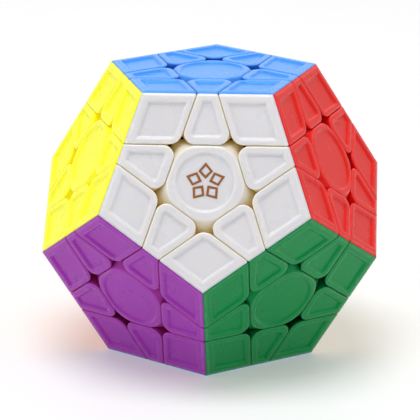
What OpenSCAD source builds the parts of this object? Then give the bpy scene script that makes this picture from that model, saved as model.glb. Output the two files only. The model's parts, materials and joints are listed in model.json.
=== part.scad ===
// Twelve-sided twisting puzzle: twelve colours, sculpted tiles, a core with twelve screw posts.
// It stands on its sky blue face. Each layer turns about the axis of its own centre piece.

/* [Body] */
// across two opposite faces, in mm
face_to_face = 70; // [60:0.5:80]
// from the common edge of two faces to the cut that runs beside it, as a part of the face apothem
cut_fraction = 0.5964; // [0.5:0.001:0.7]
// clear space between two neighbouring pieces, in mm
gap = 0.3; // [0.2:0.05:0.6]

/* [Tiles] */
// wall of the hollow coloured caps, in mm
cap_wall = 1.8; // [1.2:0.1:2.4]
// seam between two coloured caps of one piece, in mm
cap_seam = 0.06; // [0.02:0.01:0.2]
// clearance between a coloured cap and the black base under it, in mm
cap_seat = 0.04; // [0.02:0.01:0.1]
// chamfer where a tile meets a cut, in mm
tile_chamfer = 0.5; // [0.2:0.1:1]
// depth of the sunk panel in a tile, in mm
panel_depth = 0.6; // [0.4:0.1:1]
// rim of a corner tile along the outer edges of the face, in mm
corner_rim_outer = 2.4; // [1.5:0.1:3.5]
// rim of a corner tile along the cuts, in mm
corner_rim_cut = 1.7; // [1:0.1:3]
// rounding of the inner tip of a corner tile, in mm
corner_tip_radius = 3; // [1:0.1:4]
// rounding of the two inner tips of an edge tile, in mm
edge_tip_radius = 2; // [1:0.1:3]
// inner end of the panel in an edge tile, from the face centre, in mm
edge_panel_start = 11.3; // [10:0.1:13]
// outer end of the panel in an edge tile, from the face centre, in mm
edge_panel_end = 19.2; // [17:0.1:20]
// half width of that panel at its inner end, in mm
edge_panel_wide = 3.3; // [2:0.1:3.6]
// half width of that panel at its outer end, in mm
edge_panel_narrow = 1; // [0.4:0.1:1.5]

/* [Centre caps] */
// radius that rounds off the five tips of a centre cap, in mm
centre_outline = 9.3; // [8.8:0.1:10.5]
// radius of the sunk disc in a coloured centre cap, in mm
centre_disc = 8; // [6:0.1:8.4]
// radius of the sunk disc in the white centre cap, in mm
white_disc = 7.3; // [6:0.1:8.5]
// depth of the sunk disc, in mm
disc_depth = 0.5; // [0.2:0.1:1]

/* [Mechanism] */
// radius inside which the layers part along cones, in mm
cone_radius = 32; // [30:0.5:33]
// half angle of the cone of a layer in the foot shell, in degrees
foot_angle = 50; // [47:0.5:52]
// inner radius of the foot shell, in mm
foot_inner = 15; // [14:0.5:16]
// outer radius of the foot shell, in mm
foot_outer = 20; // [18:0.5:22]
// from the puzzle centre to a face of the twelve-sided core block, in mm
core_reach = 8.8; // [8:0.1:11]
// radius of a screw post on the core, in mm
post_radius = 3.2; // [2.5:0.1:4]
// end of a screw post, from the puzzle centre, in mm
post_end = 14; // [13:0.5:15]

/* [Screws and springs] */
// radius of the screw shank, in mm
screw_radius = 1.1; // [0.8:0.1:1.5]
// radius of the screw head, in mm
head_radius = 2.9; // [2:0.1:3.5]
// height of the screw head, in mm
head_height = 2; // [1:0.1:3]
// wire diameter of the spring, in mm
wire = 0.6; // [0.4:0.1:1]
// turns of the spring
spring_turns = 7; // [4:1:10]

/* [Hidden] */

$fn = 48;

reach = face_to_face / 2;
far = 2 * face_to_face;

// angles of the regular dodecahedron, measured from the puzzle centre
face_tilt = acos(1 / sqrt(5));
edge_tilt = face_tilt / 2;
vertex_tilt = asin(sin(edge_tilt) / sin(60));
side_tilt = 90 - edge_tilt;
step = 72;
half_step = 36;

// sizes on one face
face_apothem = reach * tan(edge_tilt);
cut_width = face_apothem * cut_fraction;
cut_depth = reach - cut_width * sin(face_tilt);
inside_cut = cut_depth + gap / 2;
outside_cut = cut_depth - gap / 2;
inside_line = (inside_cut - reach * cos(face_tilt)) / sin(face_tilt);
outside_line = (outside_cut - reach * cos(face_tilt)) / sin(face_tilt);
tip_length = 14;

// how far a cutting shape runs past what it cuts: the face, a sharp line, a cap's lower side
past_face = 2;
past_line = 0.5;
past_split = 1;

// lengths of the sum and difference of two neighbouring face normals
normal_sum = 2 * cos(edge_tilt);
normal_difference = 2 * sin(edge_tilt);
sharp_chamfer = (reach - inside_cut) / normal_difference - tile_chamfer * cos(edge_tilt);
blunt_chamfer = (reach + outside_cut) / normal_sum - tile_chamfer * sin(edge_tilt);

// the cones that part the layers inside cone_radius
cone_angle = acos(cut_depth / cone_radius);
centre_cone = face_tilt - cone_angle;
side_cone = side_tilt - cone_angle;
foot_hub = face_tilt - foot_angle;

// where the coloured caps sit on the black bases
corner_split = 33;
edge_split = cone_radius * cos(side_cone);
centre_split = cone_radius * cos(centre_cone);

// stalks and feet
corner_foot_low = foot_inner + 0.3;
corner_foot_high = foot_outer - 0.6;
corner_foot_spread = tan(foot_angle - vertex_tilt);
corner_stalk_spread = tan(cone_angle - vertex_tilt);
corner_stalk_low = corner_foot_high - 0.5;
corner_stalk_high = inside_cut / cos(vertex_tilt) + 1.5;
corner_stalk_flare = 0.8;
above_foot = foot_outer + 0.2;
edge_foot_low = foot_inner + 1.3;
edge_foot_high = foot_outer - 1.3;
edge_foot_wide = 5;
edge_foot_narrow = 1.8;
edge_stalk_wide = 3;
edge_stalk_deep = 4.4;
edge_stalk_high = edge_split - 2;
edge_neck_high = foot_outer + 1;
hub_radius = foot_inner * tan(foot_hub) - gap / 2;
hub_floor = foot_outer + 1.7;
pocket_radius = 5.2;

// screws, washers and springs
post_root = core_reach - 1;
screw_clearance = 0.05;
screw_hole = screw_radius + 0.5;
washer_height = 0.3;
washer_radius = head_radius + 0.4;
slot_width = 0.6;
slot_depth = 0.8;
spring_start = hub_floor + 0.05;
spring_pitch = wire * 0.95;
spring_end = spring_start + wire + (spring_turns - 1) * spring_pitch;
spring_radius = 2.4;
washer_start = spring_end + 0.02;
head_start = washer_start + washer_height;
slot_start = head_start + head_height - slot_depth;
screw_tip = 8;
bore_end = 7;

black = [0.08, 0.08, 0.09];

// colour, tilt from the vertical and heading of each face
function tone(name) =
  name == "blue" ? [0.27, 0.57, 0.98] :
  name == "white" ? [0.88, 0.88, 0.9] :
  name == "red" ? [0.86, 0.2, 0.16] :
  name == "pink" ? [0.95, 0.55, 0.7] :
  name == "lime" ? [0.55, 0.85, 0.2] :
  name == "yellow" ? [0.98, 0.95, 0.15] :
  name == "green" ? [0.1, 0.5, 0.27] :
  name == "cream" ? [0.94, 0.88, 0.66] :
  name == "grey" ? [0.5, 0.52, 0.54] :
  name == "orange" ? [0.98, 0.5, 0.1] :
  name == "purple" ? [0.55, 0.24, 0.65] : [0.45, 0.8, 0.95];
function tilt(name) =
  name == "blue" ? 0 : name == "sky" ? 180 :
  lower(name) ? 180 - face_tilt : face_tilt;
function lower(name) =
  name == "green" || name == "cream" || name == "grey" || name == "orange" || name == "purple";
function heading(name) =
  name == "white" ? -90 : name == "red" ? -18 : name == "pink" ? 54 :
  name == "lime" ? 126 : name == "yellow" ? 198 :
  name == "green" ? -54 : name == "cream" ? 18 : name == "grey" ? 90 :
  name == "orange" ? 162 : name == "purple" ? 234 : 0;
function normal(name) =
  [sin(tilt(name)) * cos(heading(name)), sin(tilt(name)) * sin(heading(name)), cos(tilt(name))];

function tilt_of(v) = acos(v.z / norm(v));
function heading_of(v) = norm([v.x, v.y]) < 0.001 ? 0 : atan2(v.y, v.x);
function downhill(t, a) = [cos(t) * cos(a), cos(t) * sin(a), -sin(t)];
function sideways(a) = [-sin(a), cos(a), 0];
function spin_to(v, t, a) = atan2(v * sideways(a), v * downhill(t, a));

// turns +Z to the direction v, and +X towards the direction w, about the puzzle centre
module aim(v, w) {
  t = tilt_of(v);
  a = heading_of(v);
  translate([0, 0, reach])
    rotate([0, t, a])
      rotate([0, 0, spin_to(w, t, a)])
        children();
}

// everything on the near side of a plane
module below(t, a, d) {
  rotate([0, t, a])
    translate([-far / 2, -far / 2, d - far])
      cube([far, far, far]);
}

// everything beyond a plane
module above(t, a, d) {
  rotate([0, t, a])
    translate([-far / 2, -far / 2, d])
      cube([far, far, far]);
}

// rounds a line where two cuts meet: what lies between the sharp line and a circle
module tip_sliver(half_angle, radius) {
  run = radius / tan(half_angle);
  translate([0, 0, -tip_length])
    linear_extrude(tip_length + past_face)
      difference() {
        polygon([
          [-past_line, 0],
          [run * cos(half_angle), run * sin(half_angle)],
          [radius / sin(half_angle), 0],
          [run * cos(half_angle), -run * sin(half_angle)]
        ]);
        translate([radius / sin(half_angle), 0])
          circle(radius);
      }
}

// one coloured third of a corner piece, seen with its face up and its outer vertex towards +X
module corner_cap() {
  low = inside_line + corner_rim_cut;
  high = face_apothem - corner_rim_outer;
  difference() {
    intersection() {
      above(vertex_tilt, 0, corner_split + cap_seat);
      below(0, 0, reach);
      above(face_tilt, half_step, inside_cut);
      above(face_tilt, -half_step, inside_cut);
      above(side_tilt, 180 + half_step, cap_seam / 2);
      above(side_tilt, 180 - half_step, cap_seam / 2);
      below(side_tilt, 180 + half_step, sharp_chamfer);
      below(side_tilt, 180 - half_step, sharp_chamfer);
    }
    intersection() {
      above(vertex_tilt, 0, corner_split - past_split);
      below(0, 0, reach - cap_wall);
      above(face_tilt, half_step, inside_cut + cap_wall);
      above(face_tilt, -half_step, inside_cut + cap_wall);
    }
    corner_tip();
    translate([0, 0, reach - panel_depth])
      linear_extrude(past_face)
        polygon([
          [high / cos(half_step), 0],
          [(high + low) / 2 / cos(half_step), (high - low) / 2 / sin(half_step)],
          [low / cos(half_step), 0],
          [(high + low) / 2 / cos(half_step), (low - high) / 2 / sin(half_step)]
        ]);
  }
}

// rounding of the inner tip of a corner tile, down the line where its two cuts meet
module corner_tip() {
  translate([inside_line / cos(half_step), 0, reach])
    rotate([0, -edge_tilt, 0])
      tip_sliver(side_tilt, corner_tip_radius);
}

// one coloured half of an edge piece, seen with its face up and its outer edge towards +X
module edge_cap() {
  difference() {
    intersection() {
      above(edge_tilt, 0, edge_split + cap_seat);
      below(0, 0, reach);
      above(face_tilt, 0, inside_cut);
      below(face_tilt, step, outside_cut);
      below(face_tilt, -step, outside_cut);
      above(side_tilt, 180, cap_seam / 2);
      below(side_tilt, 180, sharp_chamfer);
      below(edge_tilt, step, blunt_chamfer);
      below(edge_tilt, -step, blunt_chamfer);
    }
    intersection() {
      above(edge_tilt, 0, edge_split - past_split);
      below(0, 0, reach - cap_wall);
      above(face_tilt, 0, inside_cut + cap_wall);
      below(face_tilt, step, outside_cut - cap_wall);
      below(face_tilt, -step, outside_cut - cap_wall);
    }
    edge_tip();
    mirror([0, 1, 0])
      edge_tip();
    translate([0, 0, reach - panel_depth])
      linear_extrude(past_face)
        polygon([
          [edge_panel_start, edge_panel_wide],
          [edge_panel_end, edge_panel_narrow],
          [edge_panel_end, -edge_panel_narrow],
          [edge_panel_start, -edge_panel_wide]
        ]);
  }
}

// rounding of one inner tip of an edge tile
module edge_tip() {
  translate([inside_line, (outside_line - inside_line * cos(step)) / sin(step), reach])
    rotate([0, edge_tilt, -2 * step])
      rotate([0, 0, 90])
        tip_sliver(edge_tilt, edge_tip_radius);
}

// coloured cap of a centre piece, seen with its face up
module centre_cap(disc) {
  difference() {
    intersection() {
      above(0, 0, centre_split + cap_seat);
      below(0, 0, reach);
      for_sides(outside_cut, blunt_chamfer);
      cylinder(h = reach, r1 = centre_outline + reach, r2 = centre_outline);
    }
    intersection() {
      below(0, 0, reach - cap_wall);
      above(0, 0, centre_split - past_split);
      cylinder(h = far, r = centre_outline - cap_wall);
    }
    translate([0, 0, reach - disc_depth])
      cylinder(h = past_face, r = disc);
  }
}

// five cuts round a centre piece with their chamfers
module for_sides(cut, chamfer) {
  intersection() {
    below(face_tilt, 0, cut);
    below(face_tilt, step, cut);
    below(face_tilt, 2 * step, cut);
    below(face_tilt, 3 * step, cut);
    below(face_tilt, 4 * step, cut);
    below(edge_tilt, 0, chamfer);
    below(edge_tilt, step, chamfer);
    below(edge_tilt, 2 * step, chamfer);
    below(edge_tilt, 3 * step, chamfer);
    below(edge_tilt, 4 * step, chamfer);
  }
}

// black base of a corner piece: seat of the caps, stalk and foot, with its vertex up
module corner_base() {
  intersection() {
    below(0, 0, corner_split);
    above(vertex_tilt, 0, inside_cut);
    above(vertex_tilt, 120, inside_cut);
    above(vertex_tilt, 240, inside_cut);
  }
  translate([0, 0, corner_stalk_low])
    cylinder(
      h = corner_stalk_high - corner_stalk_low,
      r1 = foot_outer * corner_stalk_spread - gap / 2,
      r2 = foot_outer * corner_stalk_spread + corner_stalk_flare
    );
  translate([0, 0, corner_foot_low])
    cylinder(
      h = corner_foot_high - corner_foot_low,
      r1 = corner_foot_low * corner_foot_spread - gap,
      r2 = corner_foot_high * corner_foot_spread - gap
    );
}

// black base of an edge piece, with its edge up and one of its faces towards +X
module edge_base() {
  intersection() {
    below(0, 0, edge_split);
    above(edge_tilt, 0, inside_cut);
    above(edge_tilt, 180, inside_cut);
    below(90 + side_cone, 90, -gap / 2);
    below(90 + side_cone, -90, -gap / 2);
  }
  edge_block(edge_stalk_wide, edge_stalk_deep, above_foot, edge_stalk_high);
  edge_block(edge_stalk_wide, edge_foot_narrow, edge_foot_low, edge_neck_high);
  edge_block(edge_foot_wide, edge_foot_narrow, edge_foot_low, edge_foot_high);
}

// block with half widths x and y, from low to high
module edge_block(x, y, low, high) {
  translate([-x, -y, low])
    cube([2 * x, 2 * y, high - low]);
}

// black base of a centre piece, with its face up: seat of the cap, pocket and hub
module centre_base() {
  difference() {
    union() {
      translate([0, 0, above_foot])
        cylinder(
          h = centre_split - above_foot,
          r1 = above_foot * tan(centre_cone) - gap,
          r2 = centre_split * tan(centre_cone) - gap
        );
      translate([0, 0, post_end + gap / 2])
        cylinder(h = above_foot - post_end, r = hub_radius);
    }
    translate([0, 0, hub_floor])
      cylinder(h = far, r = pocket_radius);
    cylinder(h = far, r = screw_hole);
  }
}

// one screw post, rooted a little way inside the core block
module core_post() {
  translate([0, 0, post_root])
    cylinder(h = post_end - post_root, r = post_radius);
}

// screw with its washer, along +Z from the puzzle centre
module screw() {
  translate([0, 0, screw_tip])
    cylinder(h = washer_start - screw_tip, r = screw_radius);
  translate([0, 0, washer_start])
    cylinder(h = washer_height, r = washer_radius);
  difference() {
    translate([0, 0, head_start])
      cylinder(h = head_height, r = head_radius);
    screw_slot();
    rotate([0, 0, 90])
      screw_slot();
  }
}

// one arm of the cross slot in a screw head
module screw_slot() {
  translate([-head_radius, -slot_width / 2, slot_start])
    cube([2 * head_radius, slot_width, past_face]);
}

// closed coil spring, drawn as rings that touch
module spring() {
  rotate_extrude()
    for (turn = [0 : spring_turns - 1])
      translate([spring_radius, spring_start + wire / 2 + turn * spring_pitch])
        circle(wire / 2);
}

// the same shape on each of the twelve face axes
module each_face() {
  for (name = ["blue", "sky", "white", "red", "pink", "lime", "yellow"])
    aim(normal(name), [0, 0, 1])
      children();
  for (name = ["green", "cream", "grey", "orange", "purple"])
    aim(normal(name), [0, 0, 1])
      children();
}

// cap and base of a centre piece
module centre_piece(name) {
  partner = name == "blue" ? "white" : name == "sky" ? "green" : "none";
  toward = partner == "none" ? [0, 0, name_up(name)] : normal(partner);
  color(tone(name))
    aim(normal(name), toward)
      centre_cap(name == "white" ? white_disc : centre_disc);
  color(black)
    aim(normal(name), toward)
      centre_base();
}

// a neighbour lies straight above an upper face and straight below a lower one
function name_up(name) = lower(name) ? -1 : 1;

// two caps and the base of an edge piece between faces a and b
module edge_piece(a, b) {
  middle = normal(a) + normal(b);
  color(tone(a))
    aim(normal(a), middle)
      edge_cap();
  color(tone(b))
    aim(normal(b), middle)
      edge_cap();
  color(black)
    aim(middle, normal(a))
      edge_base();
}

// three caps and the base of a corner piece between faces a, b and c
module corner_piece(a, b, c) {
  middle = normal(a) + normal(b) + normal(c);
  for (name = [a, b, c])
    color(tone(name))
      aim(normal(name), middle)
        corner_cap();
  color(black)
    aim(middle, normal(a))
      corner_base();
}

// slab of the core block, between two opposite faces
module core_slab(name) {
  intersection() {
    below(tilt(name), heading(name), core_reach);
    above(tilt(name), heading(name), -core_reach);
  }
}

// the twelve-sided block with its twelve screw posts
module core() {
  color([0.92, 0.92, 0.9])
    difference() {
      union() {
        translate([0, 0, reach])
          intersection() {
            core_slab("blue");
            core_slab("white");
            core_slab("red");
            core_slab("pink");
            core_slab("lime");
            core_slab("yellow");
          }
        each_face()
          core_post();
      }
      each_face()
        translate([0, 0, bore_end])
          cylinder(h = far, r = screw_radius + screw_clearance);
    }
}

// twelve screws, each with its washer
module screws() {
  color([0.75, 0.76, 0.78])
    each_face()
      screw();
}

// one spring under each washer
module springs() {
  color([0.7, 0.7, 0.72])
    each_face()
      spring();
}

module centre_blue() { centre_piece("blue"); }
module centre_white() { centre_piece("white"); }
module centre_red() { centre_piece("red"); }
module centre_pink() { centre_piece("pink"); }
module centre_lime() { centre_piece("lime"); }
module centre_yellow() { centre_piece("yellow"); }
module centre_green() { centre_piece("green"); }
module centre_cream() { centre_piece("cream"); }
module centre_grey() { centre_piece("grey"); }
module centre_orange() { centre_piece("orange"); }
module centre_purple() { centre_piece("purple"); }
module centre_sky() { centre_piece("sky"); }
module edge_blue_white() { edge_piece("blue", "white"); }
module edge_blue_red() { edge_piece("blue", "red"); }
module edge_blue_pink() { edge_piece("blue", "pink"); }
module edge_blue_lime() { edge_piece("blue", "lime"); }
module edge_blue_yellow() { edge_piece("blue", "yellow"); }
module edge_white_red() { edge_piece("white", "red"); }
module edge_red_pink() { edge_piece("red", "pink"); }
module edge_pink_lime() { edge_piece("pink", "lime"); }
module edge_lime_yellow() { edge_piece("lime", "yellow"); }
module edge_yellow_white() { edge_piece("yellow", "white"); }
module edge_white_purple() { edge_piece("white", "purple"); }
module edge_white_green() { edge_piece("white", "green"); }
module edge_red_green() { edge_piece("red", "green"); }
module edge_red_cream() { edge_piece("red", "cream"); }
module edge_pink_cream() { edge_piece("pink", "cream"); }
module edge_pink_grey() { edge_piece("pink", "grey"); }
module edge_lime_grey() { edge_piece("lime", "grey"); }
module edge_lime_orange() { edge_piece("lime", "orange"); }
module edge_yellow_orange() { edge_piece("yellow", "orange"); }
module edge_yellow_purple() { edge_piece("yellow", "purple"); }
module edge_sky_green() { edge_piece("sky", "green"); }
module edge_sky_cream() { edge_piece("sky", "cream"); }
module edge_sky_grey() { edge_piece("sky", "grey"); }
module edge_sky_orange() { edge_piece("sky", "orange"); }
module edge_sky_purple() { edge_piece("sky", "purple"); }
module edge_green_cream_and_base_corner() {
  edge_piece("green", "cream");
  corner_piece("sky", "green", "cream");
}
module edge_cream_grey_and_base_corner() {
  edge_piece("cream", "grey");
  corner_piece("sky", "cream", "grey");
}
module edge_grey_orange_and_base_corner() {
  edge_piece("grey", "orange");
  corner_piece("sky", "grey", "orange");
}
module edge_orange_purple_and_base_corner() {
  edge_piece("orange", "purple");
  corner_piece("sky", "orange", "purple");
}
module edge_purple_green_and_base_corner() {
  edge_piece("purple", "green");
  corner_piece("sky", "purple", "green");
}
module corner_blue_white_red() { corner_piece("blue", "white", "red"); }
module corner_blue_red_pink() { corner_piece("blue", "red", "pink"); }
module corner_blue_pink_lime() { corner_piece("blue", "pink", "lime"); }
module corner_blue_lime_yellow() { corner_piece("blue", "lime", "yellow"); }
module corner_blue_yellow_white() { corner_piece("blue", "yellow", "white"); }
module corner_white_red_green() { corner_piece("white", "red", "green"); }
module corner_red_pink_cream() { corner_piece("red", "pink", "cream"); }
module corner_pink_lime_grey() { corner_piece("pink", "lime", "grey"); }
module corner_lime_yellow_orange() { corner_piece("lime", "yellow", "orange"); }
module corner_yellow_white_purple() { corner_piece("yellow", "white", "purple"); }
module corner_white_purple_green() { corner_piece("white", "purple", "green"); }
module corner_red_green_cream() { corner_piece("red", "green", "cream"); }
module corner_pink_cream_grey() { corner_piece("pink", "cream", "grey"); }
module corner_lime_grey_orange() { corner_piece("lime", "grey", "orange"); }
module corner_yellow_orange_purple() { corner_piece("yellow", "orange", "purple"); }

core();
screws();
springs();
centre_blue();
centre_white();
centre_red();
centre_pink();
centre_lime();
centre_yellow();
centre_green();
centre_cream();
centre_grey();
centre_orange();
centre_purple();
centre_sky();
edge_blue_white();
edge_blue_red();
edge_blue_pink();
edge_blue_lime();
edge_blue_yellow();
edge_white_red();
edge_red_pink();
edge_pink_lime();
edge_lime_yellow();
edge_yellow_white();
edge_white_purple();
edge_white_green();
edge_red_green();
edge_red_cream();
edge_pink_cream();
edge_pink_grey();
edge_lime_grey();
edge_lime_orange();
edge_yellow_orange();
edge_yellow_purple();
edge_green_cream_and_base_corner();
edge_cream_grey_and_base_corner();
edge_grey_orange_and_base_corner();
edge_orange_purple_and_base_corner();
edge_purple_green_and_base_corner();
edge_sky_green();
edge_sky_cream();
edge_sky_grey();
edge_sky_orange();
edge_sky_purple();
corner_blue_white_red();
corner_blue_red_pink();
corner_blue_pink_lime();
corner_blue_lime_yellow();
corner_blue_yellow_white();
corner_white_red_green();
corner_red_pink_cream();
corner_pink_lime_grey();
corner_lime_yellow_orange();
corner_yellow_white_purple();
corner_white_purple_green();
corner_red_green_cream();
corner_pink_cream_grey();
corner_lime_grey_orange();
corner_yellow_orange_purple();
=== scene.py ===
"""Twelve-sided twisting puzzle: sculpted coloured tiles on black bases, round a screwed core.

All lengths in the shape code are millimetres from the puzzle centre. place() turns them to metres
in the shared frame. A tile is built with its face up (+Z) and its outer vertex or outer edge
towards +X.
"""
import json
import math

import bmesh
import bpy
from mathutils import Matrix, Vector


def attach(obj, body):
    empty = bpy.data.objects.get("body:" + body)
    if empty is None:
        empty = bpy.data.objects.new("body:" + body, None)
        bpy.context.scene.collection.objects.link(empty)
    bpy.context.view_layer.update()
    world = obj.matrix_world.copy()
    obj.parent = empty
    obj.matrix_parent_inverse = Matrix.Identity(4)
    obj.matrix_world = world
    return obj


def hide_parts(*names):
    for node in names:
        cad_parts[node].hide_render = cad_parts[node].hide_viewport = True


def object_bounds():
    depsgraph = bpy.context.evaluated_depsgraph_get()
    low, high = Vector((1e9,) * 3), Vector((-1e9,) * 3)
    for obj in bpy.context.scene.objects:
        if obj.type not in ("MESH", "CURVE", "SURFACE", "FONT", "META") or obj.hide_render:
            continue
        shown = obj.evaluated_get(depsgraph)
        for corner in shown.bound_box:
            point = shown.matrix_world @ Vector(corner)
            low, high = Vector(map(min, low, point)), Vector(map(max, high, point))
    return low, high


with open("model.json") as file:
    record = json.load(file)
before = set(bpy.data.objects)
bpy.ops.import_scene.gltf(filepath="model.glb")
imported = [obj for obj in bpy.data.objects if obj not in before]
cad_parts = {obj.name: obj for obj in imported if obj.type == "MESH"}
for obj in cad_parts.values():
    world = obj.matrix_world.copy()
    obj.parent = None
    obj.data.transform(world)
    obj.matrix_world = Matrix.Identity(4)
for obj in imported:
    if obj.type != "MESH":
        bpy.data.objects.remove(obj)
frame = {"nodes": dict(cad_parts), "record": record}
cad_low, cad_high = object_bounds()

# ---------------------------------------------------------------- sizes taken from the frame
MM = 0.001
REACH = (cad_high.z - cad_low.z) / 2 / MM
CENTRE = Vector(((cad_low.x + cad_high.x) / 2, (cad_low.y + cad_high.y) / 2, cad_low.z + REACH * MM))

# ---------------------------------------------------------------- angles of the dodecahedron
FACE_TILT = math.acos(1 / math.sqrt(5))
EDGE_TILT = FACE_TILT / 2
VERTEX_TILT = math.asin(math.sin(EDGE_TILT) / math.sin(math.radians(60)))
SIDES = 5
STEP = 2 * math.pi / SIDES

# ---------------------------------------------------------------- limits of the mesh code
TINY = 1e-6
SAME_CORNER = 1e-4
SAME_POINT = 0.002
FLAT_ANGLE = 0.01
SHARP = math.radians(38)
NORMAL_WEIGHT = 60

# ---------------------------------------------------------------- cuts between the layers
CUT_PART = 0.5964  # of the face apothem, from the edge of a face in to a cut
FACE_APOTHEM = REACH * math.tan(EDGE_TILT)
CUT_WIDTH = FACE_APOTHEM * CUT_PART
CUT_DEPTH = REACH - CUT_WIDTH * math.sin(FACE_TILT)
CAP_GAP = 0.13  # between the caps of neighbouring layers
BASE_GAP = 0.3  # between their bases
CONE_RADIUS = 32.0  # nearer the puzzle centre than this, a cut is a cone
CONE_ANGLE = math.acos(CUT_DEPTH / CONE_RADIUS)
SIDE_CONE = math.pi / 2 - EDGE_TILT - CONE_ANGLE
CENTRE_CONE = FACE_TILT - CONE_ANGLE

# ---------------------------------------------------------------- caps
CORNER_SPLIT = 33.0  # where a cap sits on its base, from the puzzle centre
EDGE_SPLIT = CONE_RADIUS * math.cos(SIDE_CONE)
CENTRE_SPLIT = CONE_RADIUS * math.cos(CENTRE_CONE)
SEAT = 0.04  # between a cap and its base
SEAM = 0.03  # of each cap, where two caps of a piece meet at a crease
TILE_LOW = 24.2
WALL_LEVELS = (0.0, 0.35, 0.65, 0.85, 0.95, 1.0)

# rounded edges of the caps
CUT_ROUND = 0.34
SIDE_ROUND = 0.5
CREASE_ROUND = 2.0
CENTRE_SIDE_ROUND = 0.75
ROUND_STEPS = 6
CROWN = 0.05
CROWN_PARTS = (0.2, 0.4, 0.6, 0.8)

# corners of the outlines, seen from above: outside, and round the sunk panel
LEAST_TIP = 0.08
TIP_SHRINK = 0.25
PANEL_TIP_SHRINK = 0.35
VERTEX_TIP = 0.12
SIDE_TIP = 0.3
CORNER_TIP = 3.3
EDGE_TIP = 2.6
CORNER_PANEL_TIPS = (0.25, 0.45, 1.5, 0.45)
EDGE_PANEL_TIPS = (0.3, 0.3, 0.9, 0.9)
SMALL_ARC = 3
CORNER_ARC = 10
EDGE_ARC = 9

# rims, and the sunk panels inside them
CORNER_RIMS = (2.2, 2.2, 1.42, 1.42)
EDGE_RIMS = (1.36, 1.83, 1.36, 2.0)
PANEL_DEPTH = 0.6
CORNER_PANEL_RUN = 0.95
EDGE_PANEL_RUN = 0.855
WALL_STEPS = 10
LIP_PART = 0.22
PANEL_FLOOR_STEPS = (0.55,)

# centre caps: rounding of the spreading flanks at each height, and the sunk disc
CENTRE_ROUND = 6.0
FLANK_FOOT_ROUND = 1.6
FLANKS = ((31.2, 2.0), (32.3, 2.7), (33.2, 3.7), (33.9, 4.7))
CENTRE_ARC = 12
DISC_RADIUS = 8.0
MARKED_DISC_RADIUS = 7.35
DISC_DEPTH = 0.5
DISC_RUN = 1.0
DISC_BLENDS = (0.35, 0.7, 0.92)
DISC_FLOOR_STEPS = (0.4, 0.75)

# printed mark on the white centre: (out from the middle, across) of one petal
PETALS = 5
PETAL_OUTLINE = ((4.85, 0.0), (2.7, 1.75), (0.85, 0.0), (2.7, -1.75))
PETAL_HOLE = ((3.95, 0.0), (2.73, 1.03), (1.7, 0.0), (2.73, -1.03))
PRINT_HALF = 0.02

# how deep in a gap a point is, which sets its painted shade and painted glow, and how worn it is, which
# sets its wear and painted highlight: both from 0 to 1
DEEP_REACH = 1.6
CENTRE_DEEP_REACH = 3.5
ROUND_DEEP = 0.45
CENTRE_ROUND_DEEP = 0.25
# wear and painted highlight: where it peaks over a rounded edge, and how strong and how far it goes at
# a panel lip
WEAR_AND_HIGHLIGHT_PEAK = 0.55
CENTRE_WEAR_AND_HIGHLIGHT_PEAK = 0.5
LIP_WEAR_AND_HIGHLIGHT = 0.6
LIP_WEAR_AND_HIGHLIGHT_REACH = 0.25

# ---------------------------------------------------------------- bases, and what holds them
CORNER_SOFTEN = 0.15
EDGE_SOFTEN = 0.2
# (radius, height) of the foot and stalk of a corner
CORNER_STALK = (
    (0, 15.3), (2.4, 15.3), (2.75, 15.45), (3.05, 16.5), (3.85, 18.9), (3.75, 19.25),
    (3.4, 19.4), (2.0, 19.42), (1.82, 19.7), (1.9, 21.5), (2.3, 26.5), (2.65, 30.6),
    (2.4, 31.0), (0, 31.0),
)
# (half length, half width, bottom, top, rounding) of the neck, stalk and foot of an edge
NECK_TOP = EDGE_SPLIT - 2
EDGE_BLOCKS = (
    (3.0, 4.4, 20.2, NECK_TOP, 0.6),
    (3.0, 1.8, 16.4, 21.0, 0.3),
    (5.0, 1.8, 16.3, 18.7, 0.5),
)
BORE = 1.6
BORE_ROUND = 0.15
HUB_RADIUS = 3.38
HUB_LOW = 14.15
BASE_ROUND = 0.2
CUP_RADIUS = 10.8
CUP_FOOT_RADIUS = 7.25
CUP_LOW = 20.2
CUP_FOOT_ROUND = 0.25
POCKET_RADIUS = 5.2
POCKET_FLOOR = 21.7
SPRING_TURNS = 6.0
SPRING_LOW = 22.1
SPRING_HIGH = 25.1
COIL_RADIUS = 2.4
WIRE_RADIUS = 0.3
WIRE_SIDES = 8
COIL_STEPS = 24
SPRING_START = Vector((0.31, 0.22, 0.93))  # the direction in which each wire starts

# ---------------------------------------------------------------- plastics
COLOURS = {
    "blue": (0.065, 0.32, 0.90),
    "white": (0.735, 0.725, 0.745),
    "red": (0.76, 0.017, 0.012),
    "pink": (0.83, 0.22, 0.40),
    "lime": (0.27, 0.66, 0.045),
    "yellow": (1.0, 0.99, 0.03),
    "green": (0.002, 0.222, 0.055),
    "cream": (0.84, 0.72, 0.38),
    "grey": (0.20, 0.22, 0.24),
    "orange": (0.92, 0.20, 0.02),
    "purple": (0.315, 0.034, 0.385),
    "sky": (0.15, 0.55, 0.82),
}
# painted shade and painted bounce light: colour that the plastic is given down in the gaps
PAINTED_GAP_SHADES = {
    "blue": (0.006, 0.095, 0.50),
    "white": (0.95, 0.78, 0.37),
    "red": (0.95, 0.004, 0.004),
    "yellow": (0.97, 0.86, 0.002),
    "green": (0.003, 0.15, 0.052),
    "purple": (0.44, 0.010, 0.13),
}
# painted glow: light given off down in the gaps, standing in for light that comes through the thin
# walls
PAINTED_GAP_GLOW = {"white": (0.018, 0.013, 0.004), "yellow": (0.155, 0.13, 0.0)}
CLEAR_PLASTICS = ("white", "cream")
CLEAR_DEPTH = 0.9  # part of the light that goes into the plastic
SOLID_DEPTH = 0.3
THROUGH_REACH = 0.001  # metres that it travels there
THROUGH_PALE = 0.34
SHEEN_PALE = 0.12
DEEP_SHADE = 0.62
DEEP_RICHNESS = 1.35
FLOW_SHADE = 0.02
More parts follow.
